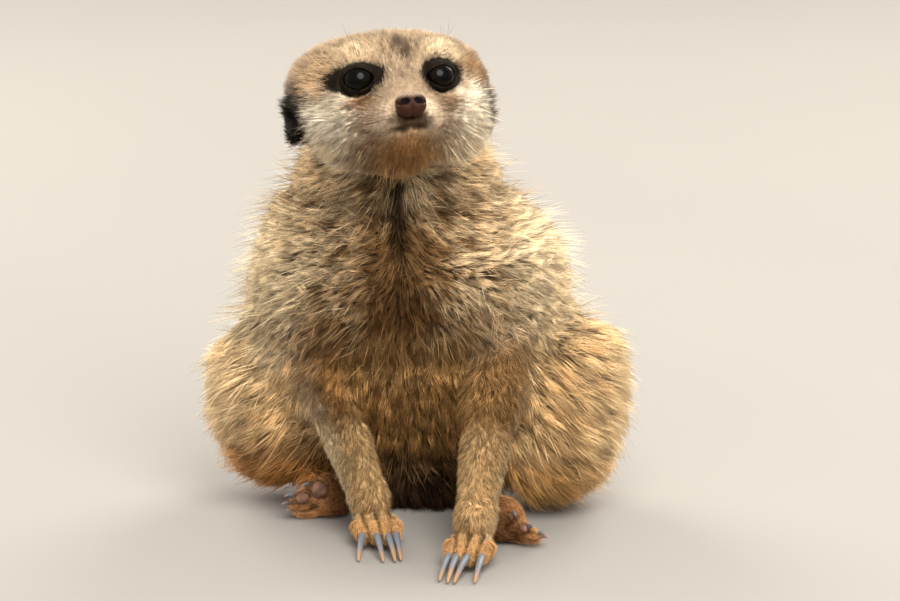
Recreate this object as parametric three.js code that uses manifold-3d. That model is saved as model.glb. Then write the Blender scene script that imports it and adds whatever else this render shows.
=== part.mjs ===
// A life-size adult meerkat (Suricata suricatta). It sits on its haunches with both forefeet planted
// before it, the hind feet turned out with their soles forward, and the tail laid on the ground behind.
//
// Millimetres, +Z up. The animal faces -Y and its own left side is +X. The origin is on the ground,
// under the seat.
//
// The solids are the outer form of the coat, out to the tips of the fur. The trunk, the tail and the
// claws are lofts, rings set along a line. The head, the legs and the feet are wraps: each is first
// given as a field, a function that says how far a point is outside the form, and a ball is then spread
// round a line inside that form until it reaches the surface. Every later piece is cut back to a socket
// that stands GAP clear of the pieces already there.
import * as THREE from "three";
import { mergeVertices } from "three/addons/utils/BufferGeometryUtils.js";
import Module from "manifold-3d";

const wasm = await Module();
wasm.setup();

// ---------------------------------------------------------------------------------------------------
// Driving dimensions
// ---------------------------------------------------------------------------------------------------
const GAP = 0.3; // between neighbouring pieces

// The trunk, from the seat to the root of the neck: the middle of each ring, half its width, and its
// depth to the front and to the back of that middle.
const TRUNK = [
  { x: 1, y: 18, z: 6, half: 36, front: 26, back: 26 },
  { x: 1, y: 18, z: 22, half: 54, front: 28, back: 37 },
  { x: 0, y: 13, z: 45, half: 60, front: 34, back: 44 },
  { x: -3, y: 7, z: 70, half: 63, front: 42, back: 50 },
  { x: -7, y: 1, z: 95, half: 63, front: 48, back: 50 },
  { x: -10, y: -2, z: 116, half: 53.5, front: 45, back: 43 },
  { x: -10, y: -8, z: 134, half: 40.5, front: 36, back: 34 },
  { x: -10.5, y: -18, z: 151, half: 32.5, front: 22, back: 27 },
  { x: -11, y: -26, z: 163, half: 25, front: 14, back: 23 },
];
const CUTS = { rump: 30, belly: 72, neck: 130, shank: 31 }; // heights at which members are parted

const HEAD = { x: -11.5, y: -37, z: 170.1, pitch: 18, yaw: 10, roll: -2 };
const SKULL = { half: 34, back: 33, crown: 28.3, temple: 39 };
const CHEEK = { right: 32.5, left: 37.5, forward: 5, low: -8, round: 17 };
const BROW = { side: 15, forward: 14, height: 13 };
const MUZZLE = { root: 15, tip: 6.9, reach: 38, drop: -6.9 };
const JAW = { root: 12.5, tip: 6.5, reach: 33.5, height: -17 };
const EYE = { side: 15.6, forward: 22.2, height: 7, radius: 5.6 };
const EAR = { side: 35.6, back: 5, height: -3, thick: 5.2, deep: 8.5, tall: 11.6 };
const NOSE = { reach: 48.3, height: -5, half: 5.7, tall: 4.8, nostril: 2.6 };

const FORELEG = {
  right: { shoulder: [-38, -11, 84], elbow: [-35, -24, 54], wrist: [-20, -38, 16], turn: 4 },
  left: { shoulder: [33, -13, 84], elbow: [26, -35, 54], wrist: [20, -64, 16], turn: -10 },
};
const FORELEG_SIZE = { shoulder: 17, elbow: 14.5, forearm: 12.5, wrist: 8.8 };
const KNUCKLE = { right: [-17.3, -47, 8], left: [18, -73, 8] };

// The four digits of a forefoot from the outer one to the inner one: how far their roots and tips lie
// outward of the middle, and how far each claw points aside in degrees.
const DIGIT = { roots: [7.4, 2.5, -2.4, -7.2], tips: [5.2, 0, -4.1, -6.8], root: 3.8, tip: 3.2 };
const REACH = { forward: 7, drop: 3, shorter: 1.5 };
const ASIDE = { right: [-4, 10, 11, 8], left: [-10, -18, -12, -13] };

const HAUNCH = {
  right: { hip: [-30, 24, 46], knee: [-52, 4, 54], shin: [-52, 17, 30] },
  left: { hip: [29, 22, 46], knee: [48, -4, 54], shin: [47, 4, 27] },
};
const HAUNCH_SIZE = { hip: [36, 32, 36], knee: [32, 33, 37], shin: [30, 29, 26] };

const HINDFOOT = {
  right: { heel: [-18, 2, 8], ball: [-36, -10, 8.9] },
  left: { heel: [21, -22, 8], ball: [31, -42, 9] },
};
const TOES = {
  right: [[-43, -17, 14.8], [-49, -17, 10.4], [-50, -15, 6.4], [-48, -13, 3.2]],
  left: [[34, -51, 14], [39.5, -53, 9.4], [43, -51, 5.8], [43.5, -47, 3.2]],
};
const TOE = { root: 3.3, tip: 3, highest: 5.5, step: 3.8 };

const CLAW = { fore: 16.8, hind: 6, foreRadius: 1.5, hindRadius: 1.2, tip: 0.55, bow: 1.3 };
const TAIL = { base: 12, tip: 4.4, cuts: [0.33, 0.72] };
const TAIL_LINE = [[4, 42, 13], [9, 76, 9.3], [22, 122, 7.7], [31, 170, 6.3], [27, 214, 5], [16, 246, 3.8]];

const SIDES = [
  { side: "right", sign: -1 },
  { side: "left", sign: 1 },
];
const degrees = THREE.MathUtils.degToRad;
const at = (x, y, z) => new THREE.Vector3(x, y, z);
const point = (list) => new THREE.Vector3(...list);
const pair = (make) => [make(-1), make(1)];
const UP = at(0, 0, 1);
const BACK = at(0, 1, 0);

// ---------------------------------------------------------------------------------------------------
// Fields: each takes a point and gives about how far it lies outside the form, below 0 inside
// ---------------------------------------------------------------------------------------------------
function ellipsoid(centre, radii) {
  const p = at();
  const q = at();
  return (where) => {
    p.copy(where).sub(centre).divide(radii);
    const scaled = p.length();
    const slope = q.copy(p).divide(radii).length();
    if (slope < 1e-6) return -Math.min(radii.x, radii.y, radii.z);
    return (scaled * (scaled - 1)) / slope;
  };
}

// A rod that tapers from one ball to another.
function rod(from, to, fromRadius, toRadius) {
  const along = to.clone().sub(from);
  const p = at();
  return (where) => {
    const share = p.copy(where).sub(from).dot(along) / along.lengthSq();
    const held = THREE.MathUtils.clamp(share, 0, 1);
    return p.addScaledVector(along, -held).length() - THREE.MathUtils.lerp(fromRadius, toRadius, held);
  };
}

// Forms that flow into each other over a distance k.
function blend(k, ...forms) {
  return (where) =>
    forms
      .map((form) => form(where))
      .reduce((a, b) => {
        const share = Math.max(k - Math.abs(a - b), 0) / k;
        return Math.min(a, b) - (share * share * k) / 4;
      });
}

// A form with a soft hollow where the tool is.
function hollow(k, form, tool) {
  return (where) => {
    const a = form(where);
    const b = -tool(where);
    const share = Math.max(k - Math.abs(a - b), 0) / k;
    return Math.max(a, b) + (share * share * k) / 4;
  };
}

// ---------------------------------------------------------------------------------------------------
// Solids
// ---------------------------------------------------------------------------------------------------
function bare(geometry) {
  const copy = geometry.clone();
  copy.deleteAttribute("normal");
  copy.deleteAttribute("uv");
  return mergeVertices(copy, 1e-4);
}

function solidOf(geometry) {
  const closed = bare(geometry);
  return new wasm.Manifold(
    new wasm.Mesh({
      numProp: 3,
      vertProperties: closed.attributes.position.array,
      triVerts: new Uint32Array(closed.index.array),
    }),
  );
}

function block(centre, size) {
  return solidOf(new THREE.BoxGeometry(size.x, size.y, size.z).translate(...centre));
}

// Spreads a ball along a line. The rings between its two caps are set across the line, and the caps
// close the ends. depth says how far each point stands from the line.
function spread(spine, { sides, rings, cap, up }, depth) {
  const geometry = bare(new THREE.SphereGeometry(1, sides, rings));
  const place = geometry.attributes.position;
  const unit = at();
  for (let i = 0; i < place.count; i++) {
    unit.fromBufferAttribute(place, i);
    const share = Math.acos(THREE.MathUtils.clamp(unit.y, -1, 1)) / Math.PI;
    const t = THREE.MathUtils.clamp((share - cap) / (1 - 2 * cap), 0, 1);
    const lean = share < 0.5 ? Math.min(share / cap, 1) : 2 - Math.min((1 - share) / cap, 1);
    const tilt = (Math.PI / 2) * lean;
    const turn = Math.atan2(unit.z, unit.x);
    const tangent = spine.getTangent(t);
    const across = at().crossVectors(up, tangent).normalize();
    const over = at().crossVectors(tangent, across);
    const direction = at()
      .addScaledVector(tangent, -Math.cos(tilt))
      .addScaledVector(across, Math.sin(tilt) * Math.cos(turn))
      .addScaledVector(over, Math.sin(tilt) * Math.sin(turn));
    const from = spine.getPoint(t);
    const move = depth({ from, direction, t, tilt, turn, tangent, across, over });
    place.setXYZ(i, ...from.add(move));
  }
  return solidOf(geometry);
}

// A ball spread until it meets the surface of a form. The grown copy is the socket for its neighbours.
function wrap(form, points, { sides, rings, cap = 0.3, reach = 120, grow = 0, up = UP }) {
  const probe = at();
  const spine = new THREE.CatmullRomCurve3(points);
  return spread(spine, { sides, rings, cap, up }, ({ from, direction }) => {
    const outside = (far) => form(probe.copy(from).addScaledVector(direction, far)) - grow;
    let inner = 0;
    let outer = 0;
    let gap = outside(0);
    while (gap < 0 && outer < reach) {
      inner = outer;
      outer += Math.max(-gap * 0.7, 0.25);
      gap = outside(outer);
    }
    for (let i = 0; i < 12 && gap >= 0; i++) {
      const middle = (inner + outer) / 2;
      if (outside(middle) < 0) inner = middle;
      else outer = middle;
    }
    return direction.multiplyScalar(Math.min(inner, reach));
  });
}

// Rings of given size set along a line: half the width, and the depth to the front and the back.
function loft(points, size, { sides, rings, cap, dome, grow = 0, up = UP }) {
  const spine = new THREE.CatmullRomCurve3(points);
  return spread(spine, { sides, rings, cap, up }, ({ t, tilt, turn, tangent, across, over }) => {
    const { half, front, back } = size(t);
    const deep = Math.sin(turn) > 0 ? back : front;
    return at()
      .addScaledVector(tangent, -Math.cos(tilt) * (half * dome + grow))
      .addScaledVector(across, Math.sin(tilt) * Math.cos(turn) * (half + grow))
      .addScaledVector(over, Math.sin(tilt) * Math.sin(turn) * (deep + grow));
  });
}

// ---------------------------------------------------------------------------------------------------
// Materials and the finished group
// ---------------------------------------------------------------------------------------------------
const material = (color, roughness) => {
  return new THREE.MeshStandardMaterial({ color, roughness, metalness: 0 });
};
const MATERIALS = {
  coat: material(0xb28e62, 0.9),
  dark: material(0x2b211b, 0.85),
  foot: material(0xb47a48, 0.9),
  claw: material(0x6f7378, 0.4),
  nose: material(0x4a2a25, 0.45),
  eye: material(0x140e0b, 0.08),
};

const animal = new THREE.Group();
const ground = block(at(0, 0, -50), at(900, 900, 100));

// The largest body that is left once the ground is cut away becomes one named piece.
function add(name, solid, finish) {
  const bodies = solid.subtract(ground).decompose();
  const largest = bodies.reduce((a, b) => (b.volume() > a.volume() ? b : a));
  const { numProp, vertProperties, triVerts } = largest.getMesh();
  const vertices = new Float32Array((vertProperties.length / numProp) * 3);
  for (let i = 0; i < vertices.length / 3; i++) {
    vertices.set(vertProperties.subarray(i * numProp, i * numProp + 3), i * 3);
  }
  const geometry = new THREE.BufferGeometry()
    .setAttribute("position", new THREE.BufferAttribute(vertices, 3))
    .setIndex(new THREE.BufferAttribute(triVerts, 1));
  geometry.computeVertexNormals();
  const mesh = new THREE.Mesh(geometry, MATERIALS[finish]);
  mesh.name = name;
  animal.add(mesh);
}

// ---------------------------------------------------------------------------------------------------
// Head, in its own frame: forward is -Y, its left side +X and its crown +Z
// ---------------------------------------------------------------------------------------------------
const headTurn = new THREE.Euler(-degrees(HEAD.pitch), degrees(HEAD.roll), degrees(HEAD.yaw), "ZXY");
const headMatrix = new THREE.Matrix4()
  .makeRotationFromEuler(headTurn)
  .setPosition(HEAD.x, HEAD.y, HEAD.z);
const inHead = (solid) => solid.transform(headMatrix.elements);

const cheek = (reach, sign) =>
  ellipsoid(at(sign * (reach - CHEEK.round), -CHEEK.forward, CHEEK.low), at(CHEEK.round, 21, 17.5));
const skull = blend(
  8,
  ellipsoid(at(0, 2, 2), at(SKULL.half, SKULL.back - 2, SKULL.crown - 2)),
  ...pair((sign) => ellipsoid(at(sign * (SKULL.temple - 20), 8, 8), at(20, 22, 17))),
  cheek(CHEEK.right, -1),
  cheek(CHEEK.left, 1),
);
const brows = pair((sign) => ellipsoid(at(sign * BROW.side, -BROW.forward, BROW.height), at(11, 9, 7)));
const muzzle = blend(
  6,
  rod(at(0, -16, -4), at(0, -MUZZLE.reach, MUZZLE.drop), MUZZLE.root, MUZZLE.tip),
  ...pair((sign) => ellipsoid(at(sign * 6, -30, -9.5), at(8.5, 12.5, 7))),
);
const headForm = blend(7, skull, ...brows, muzzle);
const headLine = [at(0, 16, 0), at(0, 0, -1), at(0, -20, -3), at(0, -38, -8)];
function head(grow) {
  return inHead(wrap(headForm, headLine, { sides: 24, rings: 20, cap: 0.16, reach: 60, grow }));
}

const jawForm = blend(
  6,
  rod(at(0, -8, JAW.height - 1), at(0, -JAW.reach, JAW.height + 0.5), JAW.root, JAW.tip),
  ellipsoid(at(0, -14, JAW.height - 1), at(14, 13, 9.5)),
);
const jawLine = [at(0, -6, JAW.height - 2), at(0, 1.5 - JAW.reach, JAW.height - 0.5)];
function jaw(grow) {
  return inHead(wrap(jawForm, jawLine, { sides: 11, rings: 8, cap: 0.25, reach: 40, grow }));
}

function eye(sign, grow) {
  const ball = new THREE.SphereGeometry(EYE.radius + grow, 10, 7).rotateX(Math.PI / 2);
  return inHead(solidOf(ball.translate(sign * EYE.side, -EYE.forward, EYE.height)));
}

const noseForm = blend(
  2,
  ellipsoid(at(0, 3.6 - NOSE.reach, NOSE.height), at(NOSE.half, 4.2, NOSE.tall)),
  ellipsoid(at(0, 6 - NOSE.reach, NOSE.height + 1.5), at(NOSE.half - 0.8, 5, NOSE.tall - 1)),
);
const noseLine = [at(0, 7 - NOSE.reach, NOSE.height), at(0, 3 - NOSE.reach, NOSE.height)];
function nose(grow) {
  return inHead(wrap(noseForm, noseLine, { sides: 10, rings: 7, cap: 0.42, reach: 20, grow }));
}
function nostril(sign) {
  const pit = new THREE.SphereGeometry(1, 6, 4).scale(1.5, 2.2, 1.3);
  return inHead(solidOf(pit.translate(sign * NOSE.nostril, 0.6 - NOSE.reach, NOSE.height + 0.4)));
}

function ear(sign, grow) {
  const centre = at(sign * EAR.side, EAR.back, EAR.height);
  const shell = ellipsoid(centre, at(EAR.thick, EAR.deep, EAR.tall));
  const cup = ellipsoid(centre.clone().add(at(sign * 3.6, -5, -0.5)), at(4.6, 5.4, 7.6));
  const line = [centre.clone().add(at(-sign, 3, -5)), centre.clone().add(at(-sign, 3, 5))];
  return inHead(wrap(hollow(1.5, shell, cup), line, { sides: 9, rings: 8, reach: 20, grow, up: BACK }));
}

// ---------------------------------------------------------------------------------------------------
// Trunk
// ---------------------------------------------------------------------------------------------------
const trunkLine = TRUNK.map(({ x, y, z }) => at(x, y, z));
const trunkSizes = new THREE.CatmullRomCurve3(TRUNK.map((ring) => at(ring.half, ring.front, ring.back)));
function trunkSize(t) {
  const { x, y, z } = trunkSizes.getPoint(t);
  return { half: x, front: y, back: z };
}
function trunk(grow) {
  return loft(trunkLine, trunkSize, { sides: 24, rings: 20, cap: 0.1, dome: 0.35, grow, up: BACK });
}

// ---------------------------------------------------------------------------------------------------
// Legs
// ---------------------------------------------------------------------------------------------------
function haunch(side, sign, grow) {
  const places = ["hip", "knee", "shin"];
  const lumps = places.map((key) => ellipsoid(point(HAUNCH[side][key]), point(HAUNCH_SIZE[key])));
  const line = [at(sign * 40, 10, 66), at(sign * 45, 8, 46), at(sign * 45, 12, 28)];
  return wrap(blend(14, ...lumps), line, { sides: 16, rings: 11, grow, up: BACK });
}

function upperArm(side, grow) {
  const shoulder = point(FORELEG[side].shoulder);
  const elbow = point(FORELEG[side].elbow);
  const form = rod(shoulder, elbow, FORELEG_SIZE.shoulder, FORELEG_SIZE.elbow);
  return wrap(form, [shoulder, elbow], { sides: 12, rings: 9, grow, up: BACK });
}

function forearm(side, grow) {
  const elbow = point(FORELEG[side].elbow);
  const wrist = point(FORELEG[side].wrist);
  const { forearm: thick, wrist: thin } = FORELEG_SIZE;
  const form = blend(4, rod(elbow, wrist, thick, thin - 0.6), ellipsoid(wrist, at(thin, thin, thin)));
  return wrap(form, [elbow, wrist], { sides: 11, rings: 9, cap: 0.24, grow, up: BACK });
}

function digit(from, to, fromRadius, toRadius, grow) {
  const form = rod(from, to, fromRadius, toRadius);
  return wrap(form, [from, to], { sides: 5, rings: 4, reach: 12, grow, up: at(0.2, 0.3, 1) });
}

// Root and tip of the four digits of a forefoot, and where the claw of each ends.
function digitLines(side, sign) {
  const turn = degrees(FORELEG[side].turn);
  const forward = at(0, -1, 0).applyAxisAngle(UP, turn);
  const outward = at(sign, 0, 0).applyAxisAngle(UP, turn);
  return ASIDE[side].map((aside, i) => {
    const early = i === 0 || i === 3 ? REACH.shorter : 0; // the digits at the sides are shorter
    const middle = point(KNUCKLE[side]).addScaledVector(forward, -early);
    const root = middle.clone().addScaledVector(outward, DIGIT.roots[i]);
    const tip = middle.clone().addScaledVector(outward, DIGIT.tips[i]);
    tip.addScaledVector(forward, REACH.forward).sub(at(0, 0, REACH.drop));
    const base = tip.clone().lerp(root, 0.15).add(at(0, 0, 1));
    const pointing = at(0, -1, 0).applyAxisAngle(UP, degrees(aside));
    const end = base.clone().addScaledVector(pointing, CLAW.fore).setZ(CLAW.tip + 0.4);
    return { root, tip, base, end };
  });
}

function forepaw(side, sign, grow) {
  const knuckle = point(KNUCKLE[side]);
  const back = knuckle.clone().add(at(sign * 0.5, 6, -1.5));
  const pad = knuckle.clone().add(at(0, 4, -4));
  const form = blend(3, ellipsoid(back, at(10, 9, 7)), ellipsoid(pad, at(9, 6.5, 4.8)));
  const line = [back.clone().add(at(0, 3, 0)), back.clone().add(at(0, -3, 0))];
  const palm = wrap(form, line, { sides: 8, rings: 5, grow });
  const digits = digitLines(side, sign).map(({ root, tip }) =>
    digit(root, tip, DIGIT.root, DIGIT.tip, grow),
  );
  return digits.reduce((paw, one) => paw.add(one), palm);
}

function hindFoot(side, grow) {
  const heel = point(HINDFOOT[side].heel);
  const ball = point(HINDFOOT[side].ball);
  const form = blend(5, rod(heel, ball, 7.5, 7.5), ellipsoid(ball, at(9, 7.5, 9.5)));
  const sole = wrap(form, [heel, ball], { sides: 8, rings: 6, reach: 30, grow });
  const toes = TOES[side].map((toe, i) => {
    const root = ball.clone().add(at(0, 0, TOE.highest - TOE.step * i));
    return digit(root, point(toe), TOE.root, TOE.tip, grow);
  });
  return toes.reduce((foot, one) => foot.add(one), sole);
}

// A claw is a horn that bends down along its length.
function claw(base, end, radius, bow, grow) {
  const middle = base.clone().lerp(end, 0.5).add(at(0, 0, bow));
  const size = (t) => {
    const half = THREE.MathUtils.lerp(radius, CLAW.tip, t ** 1.4);
    return { half, front: half * 1.15, back: half * 1.15 };
  };
  const options = { sides: 5, rings: 4, cap: 0.22, dome: 0.7, grow, up: at(0.01, 0.02, 1) };
  return loft([base, middle, end], size, options);
}

function foreClaws(side, sign, grow) {
  return digitLines(side, sign).map(({ base, end }) =>
    claw(base, end, CLAW.foreRadius, CLAW.bow, grow),
  );
}

function hindClaws(side, grow) {
  return TOES[side].map((toe) => {
    const tip = point(toe);
    const outward = tip.clone().sub(point(HINDFOOT[side].ball)).setZ(0).normalize();
    const base = tip.clone().add(outward).add(at(0, 0, 0.6));
    const end = base.clone().addScaledVector(outward, CLAW.hind * 0.6);
    end.add(at(0, -CLAW.hind * 0.6, 1));
    return claw(base, end, CLAW.hindRadius, 0.8, grow);
  });
}

// ---------------------------------------------------------------------------------------------------
// Tail
// ---------------------------------------------------------------------------------------------------
const tailLine = new THREE.CatmullRomCurve3(TAIL_LINE.map(point));
function tail(grow) {
  const size = (t) => {
    const half = THREE.MathUtils.lerp(TAIL.base, TAIL.tip, t ** 0.8);
    return { half, front: half, back: half };
  };
  return loft(tailLine.points, size, { sides: 9, rings: 14, cap: 0.08, dome: 1, grow });
}

// ---------------------------------------------------------------------------------------------------
// The pieces, each set into the ones before it
// ---------------------------------------------------------------------------------------------------
const together = (solids) => solids.reduce((all, one) => all.add(one));
const level = (solid, from, to) =>
  solid.intersect(block(at(0, 0, (from + to) / 2), at(400, 400, to - from)));

const features = together([eye(-1, GAP), eye(1, GAP), nose(GAP)]);
add("head", head(0).subtract(features), "coat");
add("nose", nose(0).subtract(nostril(-1)).subtract(nostril(1)), "nose");
let taken = head(GAP).add(nose(GAP));

for (const { side, sign } of SIDES) {
  add(`eye_${side}`, eye(sign, 0), "eye");
  add(`ear_${side}`, ear(sign, 0).subtract(taken), "dark");
}
add("jaw", jaw(0).subtract(taken), "coat");
taken = together([taken, jaw(GAP), ear(-1, GAP), ear(1, GAP)]);

const body = trunk(0).subtract(taken);
add("rump", level(body, -20, CUTS.rump - GAP / 2), "coat");
add("belly", level(body, CUTS.rump + GAP / 2, CUTS.belly - GAP / 2), "coat");
add("chest", level(body, CUTS.belly + GAP / 2, CUTS.neck - GAP / 2), "coat");
add("neck", level(body, CUTS.neck + GAP / 2, 220), "coat");
taken = taken.add(trunk(GAP));

for (const { side, sign } of SIDES) {
  const leg = haunch(side, sign, 0).subtract(taken);
  add(`thigh_${side}`, level(leg, CUTS.shank + GAP / 2, 200), "coat");
  add(`shank_${side}`, level(leg, -20, CUTS.shank - GAP / 2), "coat");
}
taken = together([taken, haunch("right", -1, GAP), haunch("left", 1, GAP)]);

for (const { side, sign } of SIDES) {
  add(`upper_arm_${side}`, upperArm(side, 0).subtract(taken), "coat");
  taken = taken.add(upperArm(side, GAP));
  add(`forearm_${side}`, forearm(side, 0).subtract(taken), "coat");
  taken = taken.add(forearm(side, GAP));
  const sockets = together(foreClaws(side, sign, GAP));
  add(`forepaw_${side}`, forepaw(side, sign, 0).subtract(taken).subtract(sockets), "foot");
  foreClaws(side, sign, 0).forEach((one, i) => add(`foreclaw_${side}_${i + 1}`, one, "claw"));
  taken = together([taken, forepaw(side, sign, GAP), sockets]);
}

for (const { side } of SIDES) {
  const sockets = together(hindClaws(side, GAP));
  add(`hind_foot_${side}`, hindFoot(side, 0).subtract(taken).subtract(sockets), "foot");
  hindClaws(side, 0).forEach((one, i) => add(`hindclaw_${side}_${i + 1}`, one, "claw"));
}

const wholeTail = tail(0).subtract(taken);
const tailPieces = [
  { name: "tail_root", from: 0, to: TAIL.cuts[0], finish: "coat" },
  { name: "tail_middle", from: TAIL.cuts[0], to: TAIL.cuts[1], finish: "coat" },
  { name: "tail_tip", from: TAIL.cuts[1], to: 1, finish: "dark" },
];
for (const { name, from, to, finish } of tailPieces) {
  const start = from > 0 ? tailLine.getPointAt(from).y + GAP / 2 : 0;
  const end = to < 1 ? tailLine.getPointAt(to).y - GAP / 2 : 400;
  const length = block(at(0, (start + end) / 2, 0), at(400, end - start, 200));
  add(name, wholeTail.intersect(length), finish);
}

export default animal;
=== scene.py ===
# %% [markdown]
# # A life-size meerkat
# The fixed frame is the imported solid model: the outer form of the coat, in its named pieces. This
# lesson gives it one living skin, eyes, nose, claws, and a coat of solid tufts that ends where those
# solids end. Work inside the lesson is in millimetres, and each mesh is written in metres.

# %% The frame
import math

import bmesh
import bpy
import numpy as np
from mathutils import Matrix, Vector, kdtree
from mathutils.bvhtree import BVHTree


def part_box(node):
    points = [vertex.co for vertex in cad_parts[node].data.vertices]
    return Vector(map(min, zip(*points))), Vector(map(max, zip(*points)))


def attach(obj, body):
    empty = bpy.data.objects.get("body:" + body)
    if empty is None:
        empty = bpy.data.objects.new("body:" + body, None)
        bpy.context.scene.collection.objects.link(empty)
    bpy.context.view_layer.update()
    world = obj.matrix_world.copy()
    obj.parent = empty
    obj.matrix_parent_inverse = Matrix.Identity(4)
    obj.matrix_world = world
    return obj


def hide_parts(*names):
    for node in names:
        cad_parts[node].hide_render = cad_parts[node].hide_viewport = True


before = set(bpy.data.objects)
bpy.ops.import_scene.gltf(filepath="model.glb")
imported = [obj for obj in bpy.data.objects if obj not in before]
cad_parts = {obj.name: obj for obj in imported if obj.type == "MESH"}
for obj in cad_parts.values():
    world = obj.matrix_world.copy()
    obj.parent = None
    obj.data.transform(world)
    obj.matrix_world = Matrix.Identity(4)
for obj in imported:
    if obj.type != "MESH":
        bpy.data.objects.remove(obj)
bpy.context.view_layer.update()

MM = 0.001
scene = bpy.context.scene

# %% [markdown]
# ## Camera, floor and light
# A long lens a little above the animal, so that its head and feet keep their true proportions. The
# floor is plain and pale. One broad round lamp stands high in front, which gives each eye its single
# soft highlight, and two lamps behind light the hair tips along the animal's outline.

# %% Camera
AIM = Vector((10.6, -20, 89.2)) * MM  # the place in the middle of the picture
RISE = math.radians(15)  # how far above the level the lens stands
FAR = 1.9  # metres from that place to the lens

bpy.ops.object.camera_add(
    location=AIM + FAR * Vector((0, -math.cos(RISE), math.sin(RISE))),
    rotation=(math.pi / 2 - RISE, 0, 0),
)
camera = bpy.context.object
camera.data.lens = 200
camera.data.sensor_width = 36
camera.data.clip_end = 20
scene.camera = camera

# %% Floor
bpy.ops.mesh.primitive_plane_add(size=8, location=(0, 1, 0))
floor = bpy.context.object
floor.name = "floor"

# %% Lamps
CHEST = Vector((0, 0, 0.11))  # what the lamps face
RIM_COLOUR = (1.0, 0.94, 0.86)


def lamp(name, azimuth, elevation, distance, size, watts, colour):
    """A round lamp that faces the animal's chest."""
    a, e = math.radians(azimuth), math.radians(elevation)
    away = Vector((math.sin(a) * math.cos(e), -math.cos(a) * math.cos(e), math.sin(e)))
    bpy.ops.object.light_add(type="AREA", location=CHEST + distance * away)
    light = bpy.context.object
    light.name = name
    light.rotation_euler = away.to_track_quat("Z", "Y").to_euler()
    light.data.shape = "DISK"
    light.data.size = size
    light.data.energy = watts
    light.data.color = colour


lamp("key_lamp", 13, 43, 1.0, 0.72, 15.5, (1.0, 0.96, 0.90))
lamp("left_rim_lamp", -138, 30, 1.3, 0.9, 16, RIM_COLOUR)
lamp("right_rim_lamp", 140, 34, 1.3, 0.9, 16, RIM_COLOUR)

scene.world = bpy.data.worlds.new("pale_room")
scene.world.use_nodes = True
room = scene.world.node_tree.nodes["Background"].inputs
room["Color"].default_value = (0.97, 0.93, 0.88, 1)
room["Strength"].default_value = 0.83
scene.view_settings.view_transform = "Standard"

# %% [markdown]
# ## Small helpers
# A few plain functions that most steps use: a soft step, a smooth wandering number over space, colours
# from their usual hex names, what a mesh holds as rows of numbers, and a modifier that is added and
# applied in one go.

# %% Helpers for numbers and colours
def ramp(low, high, x):
    """0 below low, 1 above high, and smooth between."""
    t = np.clip((x - low) / (high - low), 0, 1)
    return t * t * (3 - 2 * t)


def bell(x, width):
    """1 where x is 0, and falling smoothly to 0 on both sides."""
    return np.exp(-((x / width) ** 2))


def span(v):
    """The length of each row."""
    return np.linalg.norm(v, axis=1)


def unit(v):
    return v / np.maximum(np.linalg.norm(v, axis=-1, keepdims=True), 1e-9)


def wander(points, size, seed):
    """A smooth number from about -1 to 1 that changes over a distance of size millimetres."""
    waves = np.random.default_rng(seed)
    total = np.zeros(len(points))
    for _ in range(7):
        way = unit(waves.normal(size=3)) * waves.uniform(0.6, 1.5) * math.pi / size
        total += np.sin(points @ way + waves.uniform(0, 2 * math.pi))
    return total / 2.6  # about as far as seven waves reach together


def paint(hexes):
    """A colour in linear light from its hex name."""
    c = np.array([int(hexes[i : i + 2], 16) / 255 for i in (0, 2, 4)])
    return np.where(c <= 0.04045, c / 12.92, ((c + 0.055) / 1.055) ** 2.4)


# %% Helpers for pieces and meshes
def picked(piece):
    """Makes a piece the one that the next operator works on."""
    bpy.ops.object.select_all(action="DESELECT")
    piece.select_set(True)
    bpy.context.view_layer.objects.active = piece


def mode(name):
    bpy.ops.object.mode_set(mode=name)


def applied(piece, kind, **settings):
    """Adds a modifier to a piece and applies it."""
    picked(piece)
    modifier = piece.modifiers.new(kind.title(), kind)
    for key, value in settings.items():
        setattr(modifier, key, value)
    bpy.ops.object.modifier_apply(modifier=modifier.name)


def all_of(items, field, width, kind=float):
    """A field of all of a mesh's items, one row each."""
    flat = np.empty(len(items) * width, kind)
    items.foreach_get(field, flat)
    return flat.reshape(-1, width)


def places(mesh):
    """A mesh's points in millimetres."""
    return all_of(mesh.vertices, "co", 3) / MM


def place(mesh, points):
    """Moves a mesh's points to new places in millimetres."""
    mesh.vertices.foreach_set("co", (points * MM).ravel())
    mesh.update()


def facing(mesh):
    """The outward direction at each point of a mesh."""
    return all_of(mesh.vertex_normals, "vector", 3)


def noted(mesh, name, values):
    """Stores a number or a colour at each point of a mesh, for its material to read."""
    if values.ndim == 1:
        mesh.attributes.new(name, "FLOAT", "POINT").data.foreach_set("value", values.astype(np.float32))
    else:
        rgba = np.ones((len(values), 4), np.float32)
        rgba[:, :3] = values
        mesh.attributes.new(name, "FLOAT_COLOR", "POINT").data.foreach_set("color", rgba.ravel())


# %% [markdown]
# ## The head's own directions
# The head is raised and turned a little. Its features are easier to place in its own directions: x to
# its left, y backwards and z to its crown, measured from its middle.

# %% Head directions
HEAD_AT = np.array([-11.5, -37.0, 170.1])
HEAD_TURN = np.array(
    Matrix.Rotation(math.radians(10), 3, "Z")
    @ Matrix.Rotation(math.radians(-18), 3, "X")
    @ Matrix.Rotation(math.radians(-2), 3, "Y")
)
EYES = {"right": np.array([-14.7, -22.2, 7.4]), "left": np.array([15.2, -22.2, 6.4])}
GAZE = {"right": unit(np.array([-0.26, -0.96, 0.06])), "left": unit(np.array([0.26, -0.96, 0.06]))}
EYE_RADIUS = 5.6


def in_head(points):
    return (points - HEAD_AT) @ HEAD_TURN


def from_head(points):
    return HEAD_AT + points @ HEAD_TURN.T


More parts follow.
